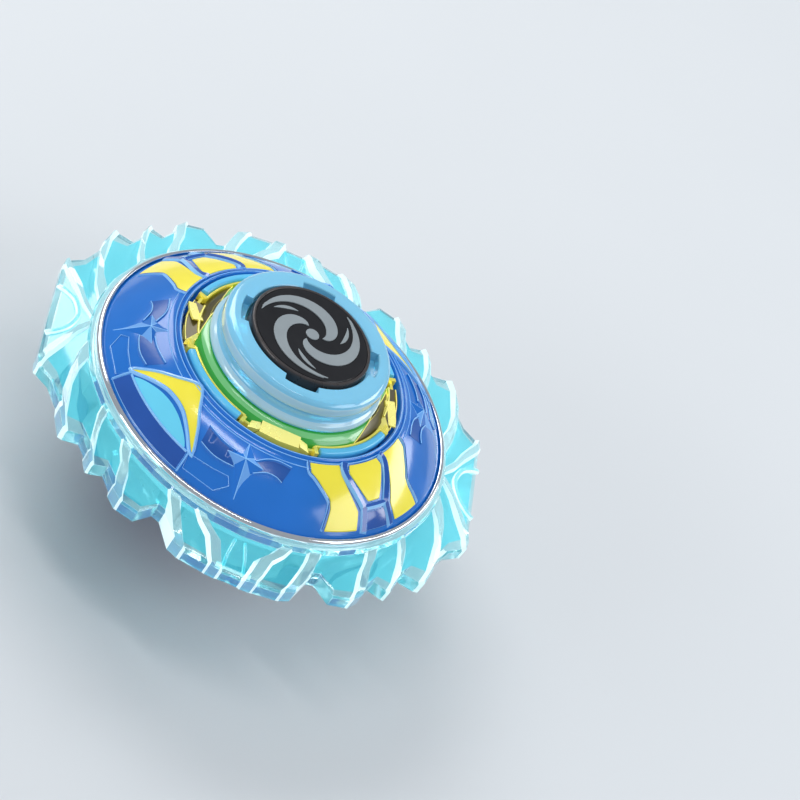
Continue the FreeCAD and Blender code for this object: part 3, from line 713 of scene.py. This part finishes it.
def add_trims(trims, middle):
    """The raised border round a crescent and its lens, and the dark panel and walls outside it. The pale tops
    of the border and walls and their lighter sides are painted highlights.
    """
    rim = [(a, smooth_follow(CRESCENT_TOP, a) - 0.22) for a in steps(-18.6, 18.6, 40)]
    back = [(a, smooth_follow(CRESCENT_UNDER, a) + 0.24) for a in steps(18.0, -18.0, 40)]
    corner, corner_r = TRIM_CORNER
    loop = rim + [TRIM_CORNER] + back + [(-corner, corner_r)]
    path = [on_dome(middle + a, max(16.45, r)) for a, r in loop]
    trims.strip(path, 0.24, 0.6, 0.34, closed=True)
    recess = [[polar(*on_dome(middle + a, r, 0.07)) for a in steps(side, -side, 12)]
              for r, side in ((22.95, 17.2), (23.5, 17.6), (24.1, 17.9), (24.75, 18.2))]
    trims.patch(recess, 0.3, 2)
    for side in (-1, 1):
        wall = [on_dome(middle + side * a, r) for r, a in ((22.9, 17.8), (23.8, 18.3), (24.8, 18.7))]
        trims.strip(wall, 0.16, 0.5, 0.30)
    trims.strip([on_dome(middle + a, 22.88) for a in steps(-17.0, 17.0, 16)], 0.14, 0.5, 0.24)


def make_crescents():
    inlays = Build()
    lenses = Build()
    trims = Build()
    for middle in CRESCENT_GROUPS:
        add_crescent(inlays, middle)
        add_lens(lenses, middle)
        add_trims(trims, middle)
    inlays = outward(inlays.make("crescent_inlays", [YELLOW], "ring", "yellow"))
    bevel(inlays, 0.08, 2, 40)
    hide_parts("crescent_inserts")
    lenses = outward(lenses.make("crescent_lens_inlays", [CYAN_LENS], "ring", "pale_blue"))
    bevel(lenses, 0.06, 2, 40)
    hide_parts("crescent_lenses")
    trims = outward(trims.make("crescent_trims", [PAINTED_LIGHT_FACET, BLUE_HIGHLIGHT, BLUE_DEEP], "ring", "blue_clear"))
    bevel(trims, 0.05, 2, 30, mat=1)


STAR_FROM_CRESCENT = 37
# Corners of a star's outline, and the fold in its middle: degrees from its middle, and radius
STAR_RIM = (
    (-3.6, 17.7), (-3.8, 19.3), (-9.6, 20.0), (-4.6, 21.0),
    (1.0, 24.1), (2.2, 21.1), (6.2, 19.9), (1.2, 19.2),
)
STAR_FOLD = (-2.0, 20.2)
STAR_PEAK = 0.85
STAR_SINK = -0.4
# Edges of the sunken channels that run from a star to the tiles and to the crescent
CHANNELS = (
    (((-6.4, 19.55), (-12, 19.5), (-20.5, 19.1)),
     ((-4.4, 21.3), (-12, 21.5), (-18.6, 21.2))),
    (((1.8, 19.45), (6.0, 18.6), (10.5, 18.3), (16.5, 18.5)),
     ((2.6, 20.9), (7.0, 20.2), (11.0, 20.2), (13.8, 20.6))),
)
OUTER_PANEL = ((-19.0, 22.9), (-10, 22.6), (-4.2, 22.4), (-2.4, 23.2), (-6.0, 24.3), (-17.5, 24.3))


def add_star(build, centre, side):
    """A folded star, highest in its middle, its facets alternately pale, as painted light, and plain blue,
    its walls a painted highlight. side mirrors it.
    """
    rim = [polar(*on_dome(centre + side * a, r, 0.03)) for a, r in STAR_RIM]
    sunk = [polar(*on_dome(centre + side * a, r, STAR_SINK)) for a, r in STAR_RIM]
    fold, fold_r = STAR_FOLD
    peak, pit = [polar(*on_dome(centre + side * fold, fold_r, lift)) for lift in (STAR_PEAK, STAR_SINK)]
    first = len(build.verts)
    build.verts += rim + sunk + [peak, pit]
    count = len(rim)
    for i in range(count):
        j = (i + 1) % count
        build.cap((first + i, first + j, first + 2 * count), i % 2)
        build.cap((first + j, first + i, first + count + i, first + count + j), 2)
        build.cap((first + count + j, first + count + i, first + 2 * count + 1), 2)


def add_channel(lines, troughs, centre, side, channel):
    """A dark trough with a thin raised line along each edge; the lines' lighter tops are painted highlights.
    """
    edges = []
    for path in channel:
        curve = smooth_path([(centre + side * a, r) for a, r in path], 6)
        lines.strip([on_dome(a, r) for a, r in curve], 0.15, 0.5, 0.26, 0.08)
        edges.append([curve[round(t * (len(curve) - 1))] for t in steps(0, 1, 14)])
    rows = []
    for k in range(7):
        points = [(between(a[0], b[0], k / 6), between(a[1], b[1], k / 6)) for a, b in zip(*edges)]
        rows.append([polar(*on_dome(a, r, 0.035)) for a, r in points])
    troughs.patch(rows, 0.2)


def make_stars():
    build = Build()
    lines = Build()
    troughs = Build()
    for middle in CRESCENT_GROUPS:
        for side in (-1, 1):
            centre = middle + side * STAR_FROM_CRESCENT
            add_star(build, centre, side)
            for channel in CHANNELS:
                add_channel(lines, troughs, centre, side, channel)
            border = [on_dome(centre + side * a, r) for a, r in OUTER_PANEL]
            lines.strip(border, 0.11, 0.5, 0.16, 0.08, closed=True)
    stars = outward(build.make("dome_stars", [PAINTED_LIGHT_FACET, BLUE, BLUE_HIGHLIGHT], "ring", "blue_clear", 8))
    bevel(stars, 0.05, 2, 8, mat=2)
    lines = outward(lines.make("dome_ridge_lines", [BLUE_HIGHLIGHT, BLUE], "ring", "blue_clear"))
    bevel(lines, 0.03, 2, 30)
    outward(troughs.make("dome_channels", [BLUE_CHANNEL], "ring", "blue_clear"))


make_dome_shell()
make_dome_posts()
make_bead_lines()
make_tiles()
make_tile_ribs()
make_crescents()
make_stars()


BEZEL_R = (25.12, 25.84)
BEZEL_Z = (21.42, 22.44)


def make_bezel():
    build = Build()
    (inner, outer), (foot, top) = BEZEL_R, BEZEL_Z
    profile = [(inner, foot), (outer, foot), (outer, 22.1), (25.55, top), (inner, top)]
    build.lathe(rounded(profile, 0.16), DOME_SIDES)
    bezel = outward(build.make("bezel_ring", [CHROME], "ring", "chrome", 60))
    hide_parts("chrome_bezel")


make_bezel()

# ---------------- core


PLATE_R = (11.85, 15.68)
PLATE_THICK = 0.78
SINK = 0.05                    # how far blocks and bands are let into the plate
LUG_INNER_R = 13.75
LUG_OUTER_R = 15.72
LINE_R = (14.3, 14.6)
LINE_HALF_TURN = 24.6
SADDLE_ANGLES = (165.5, 345.5)
MIRROR_LUGS = (0, 180)
BLOCK_ANGLES = (90, 270)
# How far a saddle reaches to each side of its middle, at a radius, and its height there
SADDLE_SPREAD = ((12.45, 2.5), (13.2, 17.0), (14.2, 29.0))
SADDLE_TOP = ((12.45, 28.99), (12.9, 28.96), (13.7, 28.36), (14.22, 27.8))


def on_shelf(middle, outline):
    """Places (degrees, radius, height over the plate) points round the middle of a lug."""
    return [(middle + a, r, SHELF_Z + h) for a, r, h in outline]


def lug_foot(half_turn):
    """The outline of a lug on the plate."""
    outline = [(0, LUG_OUTER_R), (half_turn, LUG_OUTER_R), (half_turn, LUG_INNER_R),
               (-half_turn, LUG_INNER_R), (-half_turn, LUG_OUTER_R)]
    return [(a, r, -SINK) for a, r in outline]


def add_block(build, middle):
    """A faceted block: a broad top in painted highlight, steep end facets in the dark olive of a painted
    reflection, and a low wedge at each end with a painted highlight on its top.
    """
    crown = [(0, 15.62, 1.15), (10.6, 15.6, 1.15), (11.6, 13.85, 1.5), (-11.6, 13.85, 1.5),
             (-10.6, 15.6, 1.15)]
    build.loft(on_shelf(middle, lug_foot(13.0)), on_shelf(middle, crown), 2, [0, 1, 0, 1, 0])
    for side in (-1, 1):
        wedge = [(11.0, 14.0, 1.3), (16.6, 14.1, 0.7), (16.6, 15.6, 0.7), (11.0, 15.5, 1.3)]
        if side > 0:
            wedge.reverse()
        upper = [(side * a, r, h) for a, r, h in wedge]
        lower = [(a, r, -SINK) for a, r, _ in upper]
        build.loft(on_shelf(middle, lower), on_shelf(middle, upper), 2, [0, 0, 0, 0])


def add_mirror_lug(build, middle):
    """An outer lug whose faces are dark olive, a painted reflection of the mirror gold, with painted
    highlights on its ends, inner side and edges and a painted highlight band across it.
    """
    crown = [(0, 15.68, 0.6), (15.0, 15.6, 0.6), (11.0, 14.1, 1.45), (-11.0, 14.1, 1.45), (-15.0, 15.6, 0.6)]
    build.loft(on_shelf(middle, lug_foot(16.0)), on_shelf(middle, crown), 1, [1, 2, 2, 2, 1])
    start, end = on_shelf(middle, [(-12.5, 15.5, 0.66), (1.5, 14.2, 1.42)])
    band = [tuple(between(start[k], end[k], t) for k in range(3)) for t in steps(0, 1, 4)]
    build.strip(band, 0.85, 0.85, 0.12, 0.1, mark=2, side_mark=0)
    inner_edge = on_shelf(middle, [(a, 14.05, 1.4) for a in steps(-12.0, 12.0, 12)])
    build.strip(inner_edge, 0.16, 0.6, 0.14, mark=2, side_mark=0)
    outer_edge = on_shelf(middle, [(a, 15.6, 0.58) for a in steps(-15.0, 15.0, 14)])
    build.strip(outer_edge, 0.10, 0.6, 0.12, mark=2, side_mark=0)


def saddle_edge(middle, side, radii):
    """Points on a saddle where it ends, on one side of its middle."""
    return [(middle + side * follow(SADDLE_SPREAD, r), r, follow(SADDLE_TOP, r) + 0.05) for r in radii]


def add_saddle(build, middle):
    """A mirrored saddle that lies in the collar and narrows toward the barrel, its face dark olive as a
    painted reflection, with painted highlights on its edges.
    """
    radii = steps(12.46, 14.22, 8)
    rows = []
    for (left, r, z), (right, _, _) in zip(saddle_edge(middle, 1, radii), saddle_edge(middle, -1, radii)):
        rows.append([polar(a, r, z) for a in steps(left, right, 24)])
    build.patch(rows, 0.3, 1)
    for side in (-1, 1):
        build.strip(saddle_edge(middle, side, steps(12.5, 14.3, 8)), 0.10, 0.6, 0.08, mark=2, side_mark=0)


def add_ears(build, middle):
    """The upright ears at a lug's ends, with the webs that join them to it."""
    for side in (-1, 1):
        ear = [(19.4, 15.74), (21.4, 15.72), (21.4, 14.5), (19.4, 14.5)]
        if side < 0:
            ear.reverse()
        build.prism([(middle + side * a, r) for a, r in ear], SHELF_Z - SINK, SHELF_Z + 1.05)
        web = [(14.0, 15.2), (19.8, 15.2), (19.8, 14.8), (14.0, 14.8)]
        build.prism([(middle + side * a, r) for a, r in web], SHELF_Z - SINK, SHELF_Z + 0.75)


def ring_outline(radii, low_z, high_z):
    """The four corners of a turned ring's section."""
    inner, outer = radii
    return [(inner, low_z), (outer, low_z), (outer, high_z), (inner, high_z)]


def make_gold_frame():
    build = Build()
    plate = ring_outline(PLATE_R, SHELF_Z - PLATE_THICK, SHELF_Z)
    # The plate takes the dark olive: a painted reflection.
    build.lathe(rounded(plate, 0.12, 3), CORE_SIDES, 1)
    for middle in BLOCK_ANGLES:
        add_block(build, middle)
    for middle in MIRROR_LUGS:
        add_mirror_lug(build, middle)
    for middle in SADDLE_ANGLES:
        add_saddle(build, middle)
    for middle in LUG_ANGLES:
        add_ears(build, middle)
    line = rounded(ring_outline(LINE_R, SHELF_Z - SINK, SHELF_Z + 1.1), 0.06, 2)
    for middle in ARC_ANGLES:
        build.sweep(line, middle - LINE_HALF_TURN, middle + LINE_HALF_TURN, 32)
    gold = outward(build.make("gold_frame_visual", [GOLD, GOLD_DARK_REFLECTION, GOLD_HIGHLIGHT], "core", "gold_plate", 28))
    bevel(gold, 0.07, 2, 28, mat=0)
    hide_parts("gold_frame")


ARC_R = (14.7, 15.78)
ARC_HALF_TURN = 22.3


def make_arcs():
    build = Build()
    inner, outer = ARC_R
    section = [(inner, 0), (outer, 0), (outer, 0.95), (15.6, 1.3), (14.95, 1.38), (inner, 1.15)]
    profile = rounded([(r, SHELF_Z + h) for r, h in section], 0.24, 4)
    for middle in ARC_ANGLES:
        build.sweep(profile, middle - ARC_HALF_TURN, middle + ARC_HALF_TURN, 30)
    arcs = outward(build.make("arc_pads", [SKY_ARC], "core", "pale_blue", 40))
    bevel(arcs, 0.22, 4, 50)
    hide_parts("arc_segments")


COLLAR_R = (12.5, 14.22)


def make_collar():
    """A dark outer band and a paler inner band."""
    build = Build()
    inner, outer = COLLAR_R
    profile = [(inner, SHELF_Z), (outer, SHELF_Z), (outer, 27.75), (14.0, 28.02), (13.55, 28.42),
               (13.2, 28.72), (12.9, 28.9), (inner, 28.94)]
    build.lathe(profile, CORE_SIDES, [0, 0, 0, 0, 1, 1, 0, 0])
    collar = outward(build.make("collar_visual", [GREEN, GREEN_PALE], "core", "green_clear", 60))
    bevel(collar, 0.05, 2, 50)
    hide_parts("green_collar")


BARREL_BORE_R = 10.95
# The barrel's paler tier is a painted sheen on its rounded flare.
PAINTED_SHEEN_TIER = (29.3, 30.0)       # heights of the barrel's paler tier


def make_barrel():
    build = Build()
    outline = [(BARREL_BORE_R, 26.45), (11.75, 26.45), (11.75, 27.25), (12.4, 27.25), (12.4, 29.02),
               (12.66, 29.02), (12.68, 29.45), (12.45, 29.85), (11.95, 30.2), (11.78, 30.5), (11.8, 30.95),
               (11.7, 31.15), (BARREL_BORE_R, 31.15)]
    profile = rounded(outline, 0.14)
    # Faces on the rounded flare take the lighter sky blue: a painted sheen.
    pale = [1 if PAINTED_SHEEN_TIER[0] < z < PAINTED_SHEEN_TIER[1] else 0 for _, z in profile]
    build.lathe(profile, CORE_SIDES, pale)
    barrel = outward(build.make("barrel_visual", [SKY, SKY_SHEEN], "core", "pale_blue", 60))
    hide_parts("core_barrel")


CAP_STEPS = 288
CAP_BORE = 9.05
NOTCH_BORE = 10.1
NOTCH_HALF = 14.5              # half a notch's turn in degrees
CAP_FLOOR = (32.0, 32.02, 32.3)  # heights of the floor: the disc's seat, its rim, and in a notch


def make_cap():
    """The cap is turned, with its inner edge set back in four notches."""
    outline = [(11.7, 31.2), (12.0, 31.45), (12.1, 31.8), (12.1, 32.85), (11.95, 33.25), (11.5, 33.6),
               (10.95, CAP_TOP), (9.6, CAP_TOP)]
    outer = rounded(outline, 0.12, 3)[:-4]
    seat, rim, notch = CAP_FLOOR
    build = Build()
    rows = []
    for i in range(CAP_STEPS):
        a = i * 360 / CAP_STEPS
        from_lug = abs((a + 45) % 90 - 45)
        depth = max(0.0, min(1.0, NOTCH_HALF + 0.5 - from_lug))
        bore = between(CAP_BORE, NOTCH_BORE, depth)
        height = between(rim, notch, depth)
        inner = [(bore + 0.12, CAP_TOP), (bore, CAP_TOP - 0.12), (bore, height), (CAP_BORE - 0.05, height),
                 (CAP_BORE - 0.05, seat), (4.0, seat), (4.0, 31.2)]
        rows.append([polar(a, r, z) for r, z in outer + inner])
    # The outer wall below the top rounding takes the lighter sky blue: a painted sheen.
    pale = [1 if r > 11.9 and z < 32.9 else 0 for r, z in outer + inner]
    build.grid(rows, pale, closed_rows=True, closed_columns=True)
    cap = outward(build.make("cap_visual", [SKY, SKY_SHEEN], "core", "pale_blue", 35))
    bevel(cap, 0.08, 2, 40)
    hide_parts("cap_ring")


def make_disc_gap_shade():
    # A thin dark teal ring in the gap round the disc: a painted shadow.
    gap_shade = Build()
    gap_shade.lathe(ring_outline((8.72, 9.0), 32.03, 32.12), 96)
    outward(gap_shade.make("disc_gap_shade", [TEAL_GAP_SHADE], "core", "pale_blue"))


def make_disc():
    build = Build()
    section = [(0, 32.05), (0, DISC_TOP - 0.3), (0.1, DISC_TOP - 0.06), (0.42, DISC_TOP - 0.02),
               (0.5, DISC_TOP - 0.12)]
    profile = rounded([(DISC_R - inset, z) for inset, z in section], 0.05, 2)
    first = build.lathe(profile, CORE_SIDES, 1, closed=False)
    width = len(profile)
    top = len(build.verts)
    face_r = DISC_R - 0.62
    build.verts += [polar(360 * i / CORE_SIDES, face_r, DISC_TOP - 0.02) for i in range(CORE_SIDES)]
    for i in range(CORE_SIDES):
        j = (i + 1) % CORE_SIDES
        build.cap((first + i * width + width - 1, first + j * width + width - 1, top + j, top + i))
    build.cap([top + i for i in range(CORE_SIDES)])
    build.cap([first + i * width for i in reversed(range(CORE_SIDES))])
    disc = outward(build.make("emblem_disc_visual", [BLACK, DISC_WALL], "core", "black_gloss", 30))
    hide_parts("emblem_disc")


def stroke(build, path, width, base, top):
    """A flat raised brush stroke along (degrees, radius) points, with pointed ends."""
    centre = [Vector(polar(a, r, 0)) for a, r in path]
    count = len(centre)
    left, right = [], []
    for i, c in enumerate(centre):
        along = centre[min(count - 1, i + 1)] - centre[max(0, i - 1)]
        side = Vector((-along.y, along.x, 0)).normalized() * width(i / (count - 1)) / 2
        left.append(c + side)
        right.append(c - side)
    rows = []
    for i in range(count):
        rows.append([(left[i].x, left[i].y, base), (left[i].x, left[i].y, top),
                     (right[i].x, right[i].y, top), (right[i].x, right[i].y, base)])
    first = build.grid(rows, 0, closed_columns=True)
    build.ends(first, first + 4 * (count - 1), 4)


HUB_R = 0.95
HUB_SIDES = 48


def make_relief():
    """A plain pinwheel of curved strokes, raised on the disc."""
    build = Build()
    top = min(RELIEF_TOP, DISC_TOP + 0.12)
    base = DISC_TOP - 0.1
    for turn in (0, 120, 240):
        main_path = [(turn + 175 * t, 1.5 + 6.1 * t ** 0.8) for t in steps(0, 1, 30)]
        stroke(build, main_path, lambda t: 0.10 + 1.8 * math.sin(math.pi * t ** 0.75) ** 0.9, base, top)
        thin_path = [(turn + 52 + 118 * t, 2.9 + 4.75 * t ** 0.9) for t in steps(0, 1, 24)]
        stroke(build, thin_path, lambda t: 0.08 + 0.70 * math.sin(math.pi * t) ** 0.8, base, top - 0.03)
        barb = [(turn + 128 + 34 * t, 4.1 + 2.2 * t) for t in steps(0, 1, 12)]
        stroke(build, barb, lambda t: 0.06 + 0.50 * math.sin(math.pi * t), base, top - 0.05)
    hub = [[polar(360 * i / HUB_SIDES, HUB_R, z) for i in range(HUB_SIDES)] for z in (top, base)]
    first = build.grid(hub, 0, closed_columns=True)
    build.ends(first, first + HUB_SIDES, HUB_SIDES)
    relief = outward(build.make("emblem_swirl", [SILVER], "core", "silver_print"))
    bevel(relief, 0.03, 2, 40)
    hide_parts("emblem_relief")


make_gold_frame()
make_arcs()
make_collar()
make_barrel()
make_cap()
make_disc_gap_shade()
make_disc()
make_relief()

# ---------------- carried-over nodes

FINISHES = {
    "tip": TIP_BLUE, "tip_shaft": STEEL, "shaft_clip": STEEL, "base_housing": NAVY, "tip_bush": BRASS,
    "lock_ring": WHITE, "weight_ring": ZINC, "assembly_screws": STEEL, "battery_cover": WHITE,
    "cover_screws": STEEL, "core_housing": WHITE, "lower_contacts": NICKEL, "upper_contacts": NICKEL,
    "battery_cells": NICKEL, "circuit_board": BOARD, "control_chip": CHIP, "leds": LED,
    "switch_housing": CHIP, "switch_weight": BRASS, "switch_contacts": BRASS, "switch_spring": BRASS,
    "blade_ring": BLADE,
    "dome_ring": BLUE, "yellow_tiles": YELLOW, "crescent_inserts": YELLOW, "crescent_lenses": CYAN_LENS,
    "chrome_bezel": CHROME, "gold_frame": GOLD, "arc_segments": SKY_ARC, "green_collar": GREEN,
    "core_barrel": SKY, "cap_ring": SKY, "emblem_disc": BLACK, "emblem_relief": SILVER,
}
for node, mat in FINISHES.items():
    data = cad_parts[node].data
    data.materials.clear()
    data.materials.append(mat)

# ---------------- floor, light and camera

floor_mesh = bpy.data.meshes.new("floor")
half = FLOOR_SIZE / 2
corners = [(-half, -half, 0), (half, -half, 0), (half, half, 0), (-half, half, 0)]
floor_mesh.from_pydata(corners, [], [(0, 1, 2, 3)])
floor_mesh.materials.append(FLOOR)
floor = bpy.data.objects.new("floor", floor_mesh)
bpy.context.scene.collection.objects.link(floor)

world = bpy.data.worlds.new("studio")
bpy.context.scene.world = world
world.use_nodes = True
world.node_tree.nodes["Background"].inputs["Color"].default_value = (0.86, 0.93, 1.0, 1)
world.node_tree.nodes["Background"].inputs["Strength"].default_value = 0.42


def softbox(name, azimuth, elevation, distance, size, watts, colour=(1, 1, 1)):
    """An oblong area light that looks at the top. Azimuth and elevation are as for the camera."""
    light = bpy.data.lights.new(name, "AREA")
    light.shape = "RECTANGLE"
    light.size, light.size_y = size
    light.energy = watts
    light.color = colour
    obj = bpy.data.objects.new(name, light)
    a, e = math.radians(azimuth), math.radians(elevation)
    back = Vector((math.sin(a) * math.cos(e), -math.cos(a) * math.cos(e), math.sin(e)))
    obj.location = Vector((0, 0, 0.02)) + back * distance
    obj.rotation_mode = "QUATERNION"
    obj.rotation_quaternion = (-back).to_track_quat("-Z", "Y")
    bpy.context.scene.collection.objects.link(obj)


softbox("key", -150, 40, 0.45, (0.30, 0.20), 1.05)
softbox("side", -60, 18, 0.50, (0.30, 0.12), 0.7)
softbox("fill", 75, 34, 0.50, (0.25, 0.20), 0.55, (0.92, 0.96, 1.0))
softbox("top", -30, 82, 0.45, (0.30, 0.03), 0.35)
softbox("back", 112, 24, 0.45, (0.30, 0.12), 0.6)

# The camera looks down on the ring from the front, rolled so that the spin axis leans right
VIEW_AZIMUTH = -15.0
VIEW_ELEVATION = 40.15
ROLL = 33.65
LENS = 150.0
SENSOR = 36.0
FRAME_WIDTH = 108.1 * MM       # width of the picture at the ring's distance
RING_Z = 20.0 * MM
SHIFT_LEFT = 17.94 * MM        # how far left of the picture's middle the ring stands
SHIFT_DOWN = 0.32 * MM

camera_data = bpy.data.cameras.new("camera")
camera_data.lens = LENS
camera_data.sensor_width = SENSOR
camera_data.clip_start = 0.01
camera = bpy.data.objects.new("camera", camera_data)
bpy.context.scene.collection.objects.link(camera)
distance = FRAME_WIDTH * LENS / SENSOR
azimuth, elevation = math.radians(VIEW_AZIMUTH), math.radians(VIEW_ELEVATION)
back = Vector((math.sin(azimuth) * math.cos(elevation), -math.cos(azimuth) * math.cos(elevation),
               math.sin(elevation)))
camera.location = Vector((0, 0, RING_Z)) + back * distance
camera.rotation_mode = "QUATERNION"
upright = (-back).to_track_quat("-Z", "Y")
rolled = upright @ Quaternion((0, 0, 1), math.radians(ROLL))
panned = rolled @ Quaternion((0, 1, 0), -math.atan(SHIFT_LEFT / distance))
camera.rotation_quaternion = panned @ Quaternion((1, 0, 0), math.atan(SHIFT_DOWN / distance))
bpy.context.scene.camera = camera
bpy.context.scene.view_settings.view_transform = "Standard"
